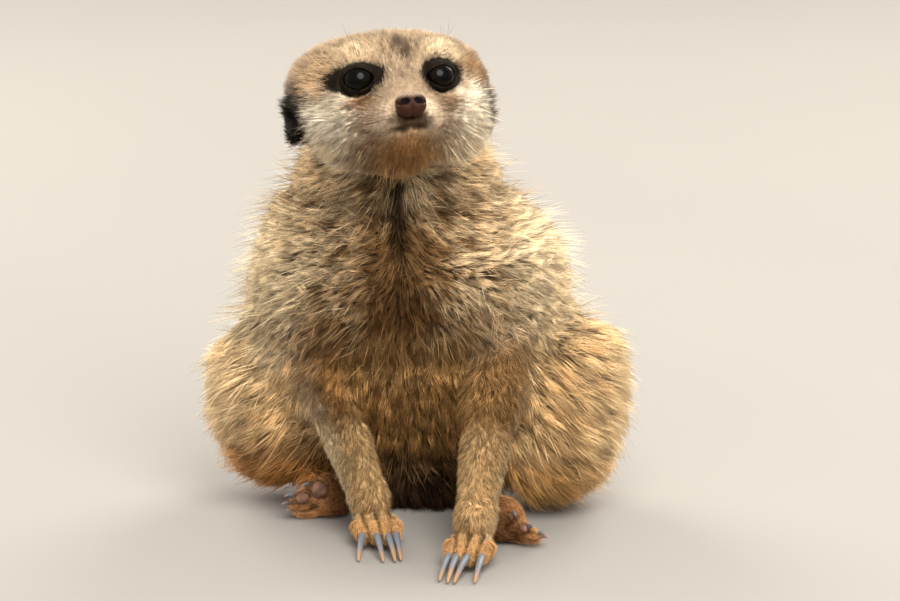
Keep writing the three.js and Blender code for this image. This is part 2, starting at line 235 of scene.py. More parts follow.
# %% [markdown]
# ## The coat, region by region
# One row for each region: how deep the skin lies under the tips, the tufts' length and width, how many
# grow on a square millimetre, how strongly they gather into locks, how much of its colour a hair has
# at its root, how far the locks stray from the lie, how much one lock differs in shade from the next,
# and the ground colour. What differs between the face, the flanks and the feet is read from here and
# then smoothed along the skin, so that no border shows.

# %% Regions
DEPTH, LENGTH, WIDTH, DENSITY, GATHER, ROOT_SHADE, FLUFF, VARIETY = range(8)
REGIONS = {
    #       depth length width density gather root fluff variety colour
    "head": (2.6, 6.8, 0.27, 5.2, 0.46, 0.66, 0.15, 0.72, "b8a084"),
    "jaw": (2.4, 6.8, 0.27, 5.2, 0.44, 0.54, 0.18, 0.70, "c9a67c"),
    "ear": (0.8, 3.4, 0.34, 6.0, 0.20, 0.80, 0.20, 0.20, "0f0c0b"),
    "neck": (5.5, 9.0, 0.38, 4.4, 0.60, 0.24, 0.38, 1.00, "bd9a6e"),
    "chest": (6.0, 9.2, 0.37, 4.7, 0.62, 0.23, 0.46, 1.30, "b48d5e"),
    "belly": (6.5, 14.0, 0.38, 1.55, 0.60, 0.36, 0.24, 1.20, "cda166"),
    "rump": (6.0, 13.0, 0.44, 1.0, 0.55, 0.25, 0.25, 0.90, "a9845a"),
    "thigh": (7.5, 15.5, 0.36, 2.1, 0.38, 0.34, 0.24, 0.80, "e8c48f"),
    "shank": (6.5, 14.5, 0.36, 2.1, 0.38, 0.30, 0.26, 0.80, "d6a86c"),
    "upper_arm": (3.2, 7.2, 0.34, 5.6, 0.50, 0.26, 0.38, 1.10, "bd925e"),
    "forearm": (2.2, 5.4, 0.30, 6.8, 0.38, 0.36, 0.30, 1.10, "dfba86"),
    "forepaw": (0.7, 3.4, 0.27, 7.0, 0.15, 0.40, 0.16, 0.30, "d2a470"),
    "hind_foot": (0.8, 3.7, 0.26, 6.0, 0.10, 0.50, 0.16, 0.20, "cf9a66"),
    "tail_root": (3.6, 10.0, 0.42, 2.6, 0.45, 0.30, 0.25, 0.90, "b49673"),
    "tail_middle": (2.2, 7.5, 0.38, 3.0, 0.40, 0.35, 0.20, 0.80, "b59774"),
    "tail_tip": (1.9, 8.5, 0.38, 3.6, 0.35, 0.80, 0.20, 0.30, "1f1815"),
}
KINDS = list(REGIONS)
TABLE = np.array([row[:-1] for row in REGIONS.values()])
TRUNK = ("neck", "chest", "belly", "rump")
HIPS = ("thigh", "shank")
ARMS = ("upper_arm", "forearm")
FACE = ("head", "jaw")
TAIL = ("tail_root", "tail_middle", "tail_tip")
NOT_FLESH = ("claw", "eye", "nose")
FLESH = [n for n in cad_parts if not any(word in n for word in NOT_FLESH)]


def columns(*names):
    return [KINDS.index(name) for name in names]


def part_of(shares, *names):
    """How far each point belongs to the named regions together, from 0 to 1."""
    return shares[:, columns(*names)].sum(1)


def kind_of(node):
    return KINDS.index(node.replace("_right", "").replace("_left", ""))


print(len(FLESH), "pieces of flesh, in", len(KINDS), "regions")

# %% Outer form, for asking what region a place is in and how deep it lies
corners, triangles, kinds = [], [], []
for name in FLESH:
    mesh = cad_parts[name].data
    mesh.calc_loop_triangles()
    start = len(corners)
    corners += [v.co / MM for v in mesh.vertices]
    triangles += [[start + i for i in t.vertices] for t in mesh.loop_triangles]
    kinds += [kind_of(name)] * len(mesh.loop_triangles)
outer = BVHTree.FromPolygons(corners, triangles)
kinds = np.array(kinds)


def asked(points):
    """The region of each point, and how far it is from the tips of the coat."""
    found = [outer.find_nearest(Vector(p)) for p in points]
    return kinds[[f[2] for f in found]], np.array([f[3] for f in found])


def softened(values, mesh, rounds):
    """Averages what each point holds with its neighbours, some rounds over."""
    a, b = all_of(mesh.edges, "vertices", 2, np.int64).T
    count = len(mesh.vertices)
    share = 1 / (1 + np.bincount(a, minlength=count) + np.bincount(b, minlength=count))
    table = values.reshape(count, -1).astype(float).copy()
    for _ in range(rounds):
        for column in range(table.shape[1]):
            now = table[:, column]
            total = now + np.bincount(a, now[b], count) + np.bincount(b, now[a], count)
            table[:, column] = total * share
    return table.reshape(values.shape)


# %% [markdown]
# ## One skin
# A real animal has one skin from nose to tail. Copies of all the solids of flesh are put into one
# mesh, a voxel remesh welds them into a single surface, and a smooth takes out the steps. Each point
# then sinks by the coat's depth, and a second remesh tidies what crossed itself. Sculpting the skin by
# hand would be freer, but this way it can't leave the form that the solids give.

# %% Weld and sink
FACE_DEPTH = 0.9  # the front of the face has only a velvet over its skin


def put(name, mesh):
    """A piece that shows a mesh."""
    piece = bpy.data.objects.new(name, mesh)
    scene.collection.objects.link(piece)
    return piece


def joined(name, nodes):
    """One piece from copies of some solids, with corners that fall together merged."""
    copies = bmesh.new()
    for node in nodes:
        copies.from_mesh(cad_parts[node].data)
    bmesh.ops.remove_doubles(copies, verts=copies.verts, dist=0.01 * MM)
    piece = put(name, bpy.data.meshes.new(name))
    copies.to_mesh(piece.data)
    copies.free()
    return piece


skin = joined("skin", FLESH)
applied(skin, "REMESH", mode="VOXEL", voxel_size=1.5 * MM)
applied(skin, "SMOOTH", factor=0.5, iterations=7)
points = places(skin.data)
kind, _ = asked(points)
depth = softened(TABLE[kind, DEPTH], skin.data, 12)
front = ramp(8, 34, -in_head(points)[:, 1]) * np.isin(kind, columns(*FACE))
depth = depth * (1 - front) + FACE_DEPTH * front
sunk = points - facing(skin.data) * depth[:, None]
bearing = (points[:, 2] < 1.2) & (facing(skin.data)[:, 2] < -0.5)  # what rests on the floor stays
sunk[bearing, 2] = np.maximum(points[bearing, 2], 0.1)
place(skin.data, sunk)
applied(skin, "REMESH", mode="VOXEL", voxel_size=1.6 * MM)
applied(skin, "SMOOTH", factor=0.5, iterations=4)
print("skin:", len(skin.data.polygons), "faces")

# %% [markdown]
# ## Finer faces where it counts
# Lids, lips and toes need more faces than a flank does. The faces of the head's front and of the feet
# are subdivided once, and those next to a feature once more. A finer remesh of the whole skin would
# cost many times the faces for nothing.

# %% Where the features are
# Each toe from its knuckle to the root of its claw, foot by foot.
TOES = {
    "fore_right": [((-25, -44, 9), (-22.5, -52.5, 6)), ((-19.8, -44, 9.4), (-17.4, -54, 6)),
                   ((-14.9, -44, 9.4), (-13.3, -54, 6)), ((-10.1, -44, 9), (-10.3, -52, 6))],
    "fore_left": [((25.3, -70, 9), (22.8, -78.8, 6)), ((20.4, -70, 9.4), (17.8, -80, 6)),
                  ((15.6, -70, 9.4), (13.6, -79.6, 6)), ((10.8, -70, 9), (10.8, -77.6, 6))],
    "hind_right": [((-39, -17, 14.8), (-43.5, -19.5, 15)), ((-43, -16.5, 10.3), (-48.5, -18.5, 10.6)),
                   ((-45, -15, 5.6), (-49.5, -16.5, 6.0)), ((-44, -13, 2.4), (-48, -14.5, 2.8))],
    "hind_left": [((32, -49, 13.6), (34.5, -53.5, 14)), ((36, -50, 9.4), (40, -55, 10)),
                  ((39, -48, 5.6), (43.8, -52.5, 6.0)), ((39, -44, 2.6), (44.2, -48, 2.8))],
}
# The bare pads that show under the toes of the hind feet: middle and radius.
PADS = [
    ((-39.6, -17.2, 13.2), 3.4), ((-45.6, -18.4, 9.4), 3.2),
    ((33.6, -52.8, 12.6), 2.5), ((38.0, -54.6, 8.2), 3.1),
]
MOUTH_AT = [0, -38, -10]


def off_line(m, line):
    """Distance from a line through some points."""
    best = np.full(len(m), 1e9)
    for a, b in zip(line[:-1], line[1:]):
        a, b = np.array(a, float), np.array(b, float)
        t = np.clip(((m - a) @ (b - a)) / ((b - a) @ (b - a)), 0, 1)
        best = np.minimum(best, span(m - a - t[:, None] * (b - a)))
    return best


def to_toes(p):
    """The distances to the nearest toe's middle line and to the second nearest."""
    far = np.sort([off_line(p, toe) for foot in TOES.values() for toe in foot], axis=0)
    return far[0], far[1]


def to_eye(m):
    return np.minimum(*(span(m - EYES[side]) for side in EYES))


def on_face(q):
    _, y, z = in_head(q).T
    return (y < 0) & (span(in_head(q)) < 58) & (z > -28)


def on_features(q):
    m = in_head(q)
    return (to_eye(m) < 9) | (span((m - MOUTH_AT) / [1.2, 1, 1]) < 12)


# %% Subdivide there
def refine(piece, near):
    """Subdivides the faces that near picks from their middles."""
    picked(piece)
    mode("EDIT")
    bpy.ops.mesh.select_mode(type="FACE")
    bpy.ops.mesh.select_all(action="DESELECT")
    mode("OBJECT")
    middles = all_of(piece.data.polygons, "center", 3) / MM
    piece.data.polygons.foreach_set("select", near(middles))
    mode("EDIT")
    bpy.ops.mesh.subdivide(number_cuts=1, smoothness=0.2)
    mode("OBJECT")


refine(skin, lambda q: on_face(q) | (to_toes(q)[0] < 7))
refine(skin, lambda q: on_features(q) | (to_toes(q)[0] < 4.6))
print("with a finer face and feet:", sum(len(f.vertices) - 2 for f in skin.data.polygons), "triangles")

# %% [markdown]
# ## Lids and mouth
# The lids are part of the skin. Round each eye the skin is drawn out to a shell just clear of the
# ball, and inside an almond opening it drops behind the ball, so the edge of the lid stands round the
# eye as a real one does. The mouth is a shallow groove from corner to corner, with the cleft of the
# upper lip running up to the nose. Before that, the step between the head and the jaw is smoothed.

# %% Sculpt the face
LID = 0.5  # the lid's thickness over the ball
OPEN = (5.9, 3.9, 4.6)  # half the width of the opening, and how far it reaches up and down
ALMOND = 1.75  # 2 would make the opening an ellipse, 1 a diamond
LID_REACH = 9.5  # how far from the eye's middle the skin is drawn out
MOUTH = [(-17, -19, -10.5), (-13.5, -28, -13.2), (-7.5, -38, -14.3), (0, -42, -13.4)]
MOUTH += [(-x, y, z) for x, y, z in MOUTH[-2::-1]]
CLEFT = [(0, -48, -9.5), (0, -45.5, -11.2), (0, -42.5, -13.2)]


def seen_by(side):
    """Outward, upward and forward for an eye, as rows."""
    ahead = GAZE[side]
    up = unit(np.array([0, 0, 1]) - ahead[2] * ahead)
    outward = np.cross(up, ahead) * (1 if side == "left" else -1)
    return np.stack([outward, up, ahead])


def almond(e):
    """1 on the edge of the opening between the lids, and less inside."""
    tall = np.where(e[:, 1] > 0, OPEN[1], OPEN[2])
    return (np.abs(e[:, 0] / OPEN[0]) ** ALMOND + np.abs(e[:, 1] / tall) ** ALMOND) ** (1 / ALMOND)


p = places(skin.data)
m = in_head(p)
x, y, z = m.T
fuller = ramp(-9, -15, z) * ramp(-40, -32, y) * ramp(34, 20, y) * (np.abs(x) < 34)
fuller = softened(fuller * (span(m) < 46), skin.data, 6)
p = p + (softened(p, skin.data, 120) - p) * np.minimum(fuller, 0.9)[:, None]
place(skin.data, p)
m = in_head(p)
normal = facing(skin.data) @ HEAD_TURN
groove = 1.3 * bell(off_line(m, MOUTH), 1.1) + 0.8 * bell(off_line(m, CLEFT), 0.7)
lips = 0.35 * bell(off_line(m, MOUTH) - 2.6, 1.3)
m = m + normal * (lips - groove)[:, None] * (m[:, 1] < -10)[:, None]
for side in EYES:
    e = (m - EYES[side]) @ seen_by(side).T
    apart = np.hypot(e[:, 0], e[:, 1])
    near = (apart < LID_REACH) & (e[:, 2] > -8)
    edge = almond(e)
    on_edge = np.abs(edge - 1) * apart < 0.24
    e[:, :2] = np.where((near & on_edge)[:, None], e[:, :2] / edge[:, None], e[:, :2])
    apart = np.hypot(e[:, 0], e[:, 1])
    reach = np.minimum(apart, 5.9)
    shell = np.sqrt((EYE_RADIUS + LID) ** 2 - reach**2) - 1.1 * (apart - reach)
    lid = shell + (e[:, 2] - shell) * ramp(5.0, LID_REACH, apart)
    behind = np.sqrt(np.maximum(EYE_RADIUS**2 - apart**2, 1)) - 1.2
    forward = np.where((edge < 1) & ~on_edge, behind, lid)
    e[:, 2] = np.where(near, forward, e[:, 2])
    m = np.where(near[:, None], EYES[side] + e @ seen_by(side), m)
place(skin.data, from_head(m))
print("points drawn out round the eyes:", int((to_eye(m) < LID_REACH).sum()))

# %% [markdown]
# ## Toes and pads
# The toes are ridges with deep creases between them, and under the hind toes sit smooth domes of
# leather. The skin is pushed in and out along its own direction, as a sculptor's thumb would do it.

# %% Sculpt the feet
def crease(p):
    """1 in the creases between two toes, 0 on the toes."""
    first, second = to_toes(p)
    return bell(second - first, 1.1) * ramp(6.5, 4.5, first)


def on_pads(p):
    """How far out of the skin the pads stand at each point, from 0 to 1, and the rings round them."""
    dome, ring = np.zeros(len(p)), np.zeros(len(p))
    for middle, radius in PADS:
        far = span(p - middle) / radius
        dome = np.maximum(dome, np.sqrt(np.clip(1 - far**2, 0, 1)))
        ring = np.maximum(ring, bell(far - 1.12, 0.16))
    return dome, ring * (dome < 0.3)


p = places(skin.data)
first, _ = to_toes(p)
dome, ring = on_pads(p)
raised = 0.5 * ramp(5, 2, first) - 1.7 * crease(p) * (dome < 0.1) + 1.7 * dome - 1.0 * ring
raised = raised * (p[:, 2] > 1.2)  # the sole stays flat on the floor
place(skin.data, p + facing(skin.data) * raised[:, None])
picked(skin)
bpy.ops.object.shade_smooth()
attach(skin, "root")
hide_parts(*FLESH)
print("toes and pads raised by up to", round(float(raised.max()), 1), "mm")

# %% [markdown]
# ## Markings
# A meerkat is grizzled buff, with black patches round the eyes, black ears, a cream brow and cheeks, a
# dark throat line, rust feet, dark bars across the lower back and a black tip to the tail. They are
# told as soft patches in the head's or the body's own directions, each a colour with a strength at
# every point, and are laid over the ground colour in turn. The same function paints the skin and each
# tuft at its root, so both always agree.
# Not every patch is a marking. Some are painted shade: between the belly's locks, low on the haunches,
# deep between the legs, under the nose, in the mouth's groove, and round the toes and pads. The pale
# sides of the flanks and haunches are partly painted rim light.

# %% Patches of the face, in the head's directions
BASE_COLOURS = np.array([paint(row[-1]) for row in REGIONS.values()])
BLACK = "0a0807"
FACE_PATCHES = [
    # middle, reach, colour, strength
    ((0, -14, 20), (26, 16, 10), "9c876a", 0.8),  # crown
    ((-17, -20, 19), (10, 9, 5.5), "cbb492", 0.95),  # right brow
    ((20, -19, 17), (9, 9, 5.5), "d8c2a0", 0.95),  # left brow
    ((2.5, -22, 18), (3.8, 9, 6), "4a3728", 0.85),  # smudge between the brows
    ((-30, -14, 9), (9, 12, 9), "e4c296", 0.7),  # right temple
    ((31, -14, 8), (9, 12, 9), "9f774a", 0.7),  # left temple
    ((-27, -17, -7), (12, 14, 10), "fbefd9", 0.95),  # right cheek
    ((29, -18, -8), (12, 15, 12), "fbefd9", 0.95),  # left cheek
    ((-26, -8, -17), (12, 12, 8), "f0ddbc", 0.8),  # right ruff
    ((24, -12, -19), (12, 12, 8), "f4e3c4", 0.85),  # left ruff
    ((0, -34, 4), (8.5, 13, 9), "b19a80", 0.9),  # bridge
    ((0, -44, -3), (7, 7, 5), "b0937a", 0.8),  # bare top of the muzzle
    ((-9, -38, -8), (8, 9, 6), "d3bda2", 0.85),  # right whisker bed
    ((10, -38, -8), (8, 9, 6), "e4d0b4", 0.85),  # left whisker bed
    ((-15.5, -28, -1.6), (5.5, 7, 3.4), "a67d58", 0.75),  # under the right eye
    ((17.5, -27, -2.3), (4.5, 7, 4), "92704f", 0.7),  # under the left eye
    ((-21, -21, -20), (6, 8, 4), "4e3424", 0.75),  # right of the jaw
    ((-14, -16, -24), (7, 7, 4), "452c1e", 0.75),  # and below it
    ((0, -40, -17), (10, 7, 4), "9c7048", 0.55),  # lower lip
    ((0, -30, -24), (21, 17, 9), "a87a48", 0.6),  # chin
    ((-1, -34, -22), (10, 11, 6), "8c5c2e", 0.5),  # rust in its middle
    ((-15, -28, -19), (8, 8, 5), "7d5a3c", 0.6),  # below the right corner of the mouth
    ((0, -44.5, -11.0), (10.5, 7, 5.4), "33200f", 0.93),  # dark skin round the mouth, and painted shade under the nose
    ((-36, 0, -4), (8.5, 13, 14.5), BLACK, 0.99),  # right ear
    ((39.5, -9.5, -3), (9.5, 15, 15.5), BLACK, 0.99),  # left ear
]
SOCKETS = {
    # how far the black patch reaches outward and how high it ends there, the same inward, up, down
    "right": (11.0, -0.4, 10.0, 0.3, 6.3, 6.0),
    "left": (8.6, 0.2, 8.0, -0.4, 7.5, 6.2),
}


def patch(p, middle, reach, seed):
    """1 inside a soft ellipsoid with a ragged edge, and 0 outside."""
    far = span((p - middle) / np.array(reach))
    return ramp(1.4, 0.5, far + 0.15 * wander(p, 3.0, seed))


def socket(m, side):
    """1 in the black patch round an eye, and 0 outside."""
    outward, outer_end, inward, inner_end, up, down = SOCKETS[side]
    x = (m[:, 0] - EYES[side][0]) * (-1 if side == "right" else 1)
    z = m[:, 2] - EYES[side][2]
    along = np.where(x > 0, x / outward, -x / inward)
    slope = along * np.where(x > 0, outer_end, inner_end)
    tall = np.where(z > slope, up, down) * np.sqrt(np.clip(1 - along**2, 0.02, 1)) ** 1.1
    edge = np.maximum(np.abs(z - slope) / tall, along) + 0.05 * wander(m, 1.6, 31)
    return ramp(1.16, 0.92, edge) * (m[:, 1] < -12)


def face_marks(m, shares):
    """The ears' and the face's patches, the grizzle of the crown, the eye patches, and the dark lips
    with painted shade in their groove.
    """
    face, head = part_of(shares, *FACE), part_of(shares, *FACE, "ear")
    marks = [
        (shade, strength * head * patch(m, middle, reach, 20 + number))
        for number, (middle, reach, shade, strength) in enumerate(FACE_PATCHES)
    ]
    marks.append(("70604f", 0.35 * face * ramp(0.1, 0.9, wander(m, 2.2, 17)) * ramp(-2, 12, m[:, 2])))
    marks += [(BLACK, 0.97 * face * socket(m, side)) for side in SOCKETS]
    # the lips' own dark along the mouth, with painted shade in its groove
    lips = ramp(1.5, 0.5, off_line(m, MOUTH)) * ramp(17, 9, np.abs(m[:, 0]))
    return marks + [("1d120c", 0.92 * face * lips)]


# %% Marks of the trunk and legs, in the body's directions
THROAT_X = -8.5  # the throat line
CHEST_X = -9  # the middle of the chest, between the flanks
WHORL = (-6, 93)  # where the hair of the chest whirls, across and up
BAR_STEP = 12.5  # from one bar of the back to the next
HEIGHTS = [6, 45, 95, 134, 163]  # heights at which the next two rows hold
MIDDLE_Y = [18, 13, 1, -8, -26]  # how far back the trunk's middle line is
HALF_DEPTH = [26, 44, 50, 34, 23]  # and how deep the back is behind it


def backness(p):
    """How far behind the trunk's middle line a point is, 0 on the line and 1 on the spine."""
    return (p[:, 1] - np.interp(p[:, 2], HEIGHTS, MIDDLE_Y)) / np.interp(p[:, 2], HEIGHTS, HALF_DEPTH)


def front_marks(p, front, arms):
    """Throat, chest, flanks and belly, with painted shade low down and painted rim light on the pale
    flanks.
    """
    x, y, z = p.T
    aside, across = np.abs(x - CHEST_X), np.abs(x - WHORL[0])
    high = ramp(70, 98, z)
    middle = ramp(20, 5, aside + 3 * wander(p, 7, 4)) * ramp(138, 118, z)
    mottle = ramp(-0.1, 0.6, wander(p * [1, 1, 1.5], 5, 5))
    flank = front * ramp(24, 48, aside + 5 * wander(p, 12, 3))
    whorl = bell(x - WHORL[0], 13) * bell(z - WHORL[1], 12)
    line = bell(x - THROAT_X, 2.1) * ramp(100, 120, z) * ramp(30, 0, y)
    collar = front * ramp(128, 146, z) * ramp(10, 22, aside)
    fringe = bell(z - (96 - 0.66 * across) + 2.5 * wander(p, 5, 12), 3.5)
    fringe = fringe * ramp(40, 30, across) * (y < -10)
    painted_gap_shade = ramp(0.1, 0.8, wander(p * [1, 1, 0.3], 4, 6)) * (1 - high)
    return [
        ("7d5a35", 0.5 * front * middle * high),
        ("4f351b", 0.55 * front * mottle * high * (1 - 0.8 * flank)),
        ("f3dcb4", 0.68 * front * (1 - mottle) * high * (1 - middle)),
        ("5a3c20", 0.7 * front * whorl),
        ("24180f", 0.95 * front * line),
        ("efd3a8", 0.75 * collar),
        # pale flanks: the sides' own cream, and painted rim light
        ("f7e2bc", 0.92 * flank),
        ("442c16", 0.45 * fringe * (front + arms).clip(0, 1)),  # shade under the fringe of the chest
        ("5e3b1a", 0.5 * front * painted_gap_shade * (1 - flank)),  # painted shade between the locks of the belly
        ("24160c", 0.9 * front * ramp(40, 12, z)),  # painted shadow deep between the legs
    ]


def back_marks(p, trunk, hips, back):
    """Haunch streaks, partly painted shade; pale sides, partly painted rim light; rusty lower right;
    then the back's grizzle and bars.
    """
    x, _, z = p.T
    streaks = ramp(0.1, 0.8, wander(p * [1, 0.5, 0.45], 5, 9)) * ramp(70, 35, z)
    bars = ramp(0.15, 0.75, np.sin(z / BAR_STEP * 2 * math.pi + 1.1 * wander(p, 22, 11)))
    bars = bars * ramp(140, 118, z) * ramp(44, 20, np.abs(x + 4)) * ramp(0.1, 0.4, back)
    return [
        # dark streaks low on the haunches: darker hair, and painted shade between the locks
        ("6f4f2c", 0.55 * hips * streaks * (1 - back)),
        # pale sides of the haunches: their own cream, and painted rim light
        ("fbe8c2", 0.6 * hips * ramp(48, 74, np.abs(x))),
        ("a66a30", 0.75 * hips * ramp(52, 18, z) * ramp(5, -25, x)),
        ("a08a6e", 0.9 * (trunk + 0.8 * hips) * back),
        ("4c3a2a", 0.75 * trunk * bars),
    ]


def leg_marks(p, shares, front, arms):
    """Forelegs' pale outsides and flecked insides, the tail, the pads, and painted shade in creases, by
    soles, round pads.
    """
    x, _, z = p.T
    leg_x = np.sign(x) * np.interp(z, [16, 54, 84], [19, 30, 36])
    outside = ramp(2, 10, np.sign(x) * (x - leg_x))
    flecks = ramp(-0.15, 0.45, wander(p, 1.3, 13)) * ramp(24, 50, z)
    inside = ramp(46, 58, z) * ramp(86, 72, z) * ramp(-48, -40, x) * ramp(-24, -32, x)
    tail = part_of(shares, "tail_root", "tail_middle")
    inner_foot_shade = part_of(shares, "hind_foot") * ramp(40, 33, np.abs(x)) * ramp(22, 12, z)
    dome, ring = on_pads(p)
    return [
        ("f8e4c0", 0.8 * arms * outside),
        ("5a3f24", 0.6 * arms * flecks * (1 - outside)),
        ("7a5026", 0.6 * inside * (arms + front).clip(0, 1)),
        ("5a4430", 0.4 * tail * ramp(0.2, 0.8, wander(p, 4, 15))),
        # painted shade in the creases between the toes
        ("2a1a10", 0.9 * crease(p)),
        # painted shade on the inner side of each hind foot, between foot and foreleg
        ("5a3420", 0.75 * inner_foot_shade),
        ("8d6c5b", 0.95 * ramp(0.02, 0.3, dome)),
        # painted shade in the groove round each pad
        ("3a2114", 0.85 * ring),
    ]


def markings_and_painted_light(p, shares):
    """The coat's colour at points of the body, from each point's share of each region."""
    back = ramp(0.05, 0.6, backness(p))
    trunk, hips, arms = (part_of(shares, *names) for names in (TRUNK, HIPS, ARMS))
    front = trunk * (1 - back)
    marks = front_marks(p, front, arms) + back_marks(p, trunk, hips, back)
    marks += leg_marks(p, shares, front, arms) + face_marks(in_head(p), shares)
    colours = shares @ BASE_COLOURS
    for shade, strength in marks:
        colours = colours + (paint(shade) - colours) * strength[:, None]
    return np.clip(colours, 0.002, 1)


# %% [markdown]
# ## The lie of the coat
# Hair runs back from the nose over the head, parts down the middle of the throat, hangs from the
# chest and belly, sweeps out over the haunches and runs down each leg to the toes and along the tail.
# Each region gets a plain direction, and the directions are then smoothed along the skin. The tufts
# lay them flat on it.

# %% Lie of the coat
def rows(*columns):
    """Directions, one row each, from a column or a plain number for each axis."""
    return np.stack(np.broadcast_arrays(*columns), 1)


def lie_of_head(m):
    """Back and out from the nose, and away from the eyes close to them."""
    x, y, z = m.T
    spread = rows(np.sign(x) * ramp(10, 26, np.abs(x)), 0, -ramp(8, -14, z))
    way = unit(m - [0, -52, -5]) + 0.35 * spread * ramp(-34, -14, y)[:, None]
    for side in EYES:
        off = m - EYES[side]
        close = ramp(10.5, 7, span(off))[:, None]
        way = unit(way) * (1 - close) + unit(off * [1, 0.3, 1]) * close
    return way @ HEAD_TURN.T


def lie_of_front(p):
    """Parted on the throat, a fan from the chest's whorl, and straight down on the belly."""
    x, _, z = p.T
    part = np.clip((x - THROAT_X) / 20, -1, 1)
    part = np.sign(part) * np.abs(part) ** 0.5
    fan = unit(rows(x - WHORL[0], 0, np.minimum(z - 104, -4))) + [0, 0, -0.35]
    high, low = ramp(98, 124, z)[:, None], ramp(78, 50, z)[:, None]
    front = rows(1.25 * part, 0.35 * np.abs(part), -0.55) * high + fan * (1 - high)
    return front * (1 - low) + low * rows(0.25 * part, 0, -1)


def lie(p, kind):
    """The direction in which the hair runs at each point."""
    sign = np.sign(p[:, 0])
    back = ramp(-0.1, 0.5, backness(p))[:, None]
    ways = dict.fromkeys(FACE, lie_of_head(in_head(p)))
    ways["ear"] = np.array([0, 0.5, 0.9]) @ HEAD_TURN.T
    ways |= dict.fromkeys(TRUNK, lie_of_front(p) * (1 - back) + np.array([0, 0.25, -1.0]) * back)
    ways |= dict.fromkeys(HIPS, rows(0.95 * sign, 0.25, -0.8) * (1 - back) + back * [0, 0.4, -1])
    ways |= dict.fromkeys(ARMS, rows(0.12 * sign, -0.3, -1))
    ways["forepaw"] = [0, -1, -0.5]
    ways["hind_foot"] = rows(0.5 * sign, -0.8, -0.15)
    ways |= dict.fromkeys(TAIL, [0.05, 1, -0.05])
    flow = np.zeros_like(p)
    for number, name in enumerate(KINDS):
        mine = kind == number
        flow[mine] = unit(np.broadcast_to(ways[name], p.shape)[mine])
    return flow


# %% Region, lie and marking at each point of the skin
points = places(skin.data)
normals = facing(skin.data)
kind, below = asked(points)
shares = softened(np.eye(len(KINDS))[kind], skin.data, 6)
wide = columns(*TRUNK, "upper_arm", "thigh")  # these borders are wide and soft on a real animal
whole = shares[:, wide].sum(1, keepdims=True)
softer = softened(shares[:, wide], skin.data, 22)
shares[:, wide] = softer / np.maximum(softer.sum(1, keepdims=True), 1e-6) * whole
flow = softened(lie(points, kind), skin.data, 16)
table = softened(shares, skin.data, 8) @ TABLE
noted(skin.data, "marking", markings_and_painted_light(points, shares))
# The skin takes the dark of the hair roots, which where it shows between tufts is also painted shade
# deep in the coat.
noted(skin.data, "along", np.full(len(points), 0.3))
noted(skin.data, "root_shade", table[:, ROOT_SHADE])
noted(skin.data, "chance", 0.5 + 0.1 * wander(points, 1.5, 41))
print("coat depth, mm:", round(float(below.min()), 2), "to", round(float(below.max()), 2))

# %% [markdown]
# ## Length of the coat
# On the head the region's numbers aren't enough. The hair is a velvet of under two millimetres on the
# bridge of the nose and round the eyes, and grows longer to the crown and to the ruff of the cheeks.
# Eyeballs, nose, pads and the undersides grow none.

# %% Length, width, density and gathering
m = in_head(points)
x, y, z = m.T
face = part_of(shares, *FACE)
from_tip = span(m - [0, -47, -5])
face_length = 1.3 + 5.2 * ramp(4, 42, from_tip) + 4.5 * ramp(17, 32, np.abs(x)) * ramp(6, -8, z)
face_length = face_length + 2.8 * ramp(-13, -22, z) * ramp(-46, -30, y)
face_length = np.minimum(face_length, 1.6 + 0.42 * np.maximum(to_eye(m) - 6, 0))
length = table[:, LENGTH] * (1 - face) + face_length * face
width = table[:, WIDTH] * (1 - face * ramp(5, 2.5, face_length) * 0.35)
density = table[:, DENSITY] * (1 + face * ramp(5.5, 2.5, face_length) * 0.9)
gather = table[:, GATHER] * (1 - 0.7 * face * ramp(4, 2, face_length))
gather = gather * (1 - 0.5 * face * ramp(4, 14, z))
fluff = table[:, FLUFF] * (1 - 0.75 * face * ramp(5, 2, face_length)) + 0.22 * face * ramp(8, 17, z)
variety = table[:, VARIETY] * (1 - 0.75 * face * ramp(5, 2.5, face_length))

# %% Bare places, the parting of the throat, and how far the tips rise
bare = np.zeros(len(points))
for side in EYES:
    e = (m - EYES[side]) @ seen_by(side).T
    bare = np.maximum(bare, (span(e) < 9) * ramp(1.05, 0.98, almond(e)))
from_nose = span((m - [0, -45, -5]) / [6.6, 6.4, 5.6])
from_throat = np.abs(points[:, 0] - THROAT_X)
on_throat = ramp(92, 100, points[:, 2]) * (points[:, 1] < -5) * (face < 0.3)
for hairless in (
    ramp(1.05, 0.95, from_nose),
    on_pads(points)[0] > 0.02,
    0.75 * crease(points),
    0.8 * ramp(0.9, 0.4, off_line(m, MOUTH)) * (np.abs(x) < 10),
    0.98 * ramp(1.5, 0.8, from_throat) * on_throat,
):
    bare = np.maximum(bare, hairless)
under = (points[:, 2] < 1.0) & (normals[:, 2] < -0.4)
density = density * (1 - bare) * np.where(under, 0.0, 1.0)
beside = 1 - 0.85 * ramp(6, 2.5, from_throat) * on_throat  # tidy hair keeps the throat line sharp
fluff, gather = fluff * beside, gather * beside
rise = below * (1.0 + 0.25 * part_of(shares, "chest", "neck", "thigh") * np.abs(normals[:, 0]))
least = 0.4 + 0.1 * length + face * (0.15 + 0.1 * length)  # so that no hair sinks into a fold
rise = np.maximum(rise + 0.6 * part_of(shares, "forepaw", "hind_foot"), least)
print("hair on the face, mm:", round(float(face_length.min()), 1), "and more")

# %% [markdown]
# ## Growing the tufts
# A tuft is a thin closed blade with three sides that rises from the skin, bends over and ends in a
# point. Its foot angle is worked out from the depth of the coat under the solids, so the tips end at
# the outer form. Tufts near a leader lean towards its tip, which makes the locks of a real coat. Many
# thousand are written as one mesh straight from arrays, since a tool that copies pieces one by one
# would take hours. Each keeps a small patch on the map OFBake, at its root's place on an unwrap of the
# skin.

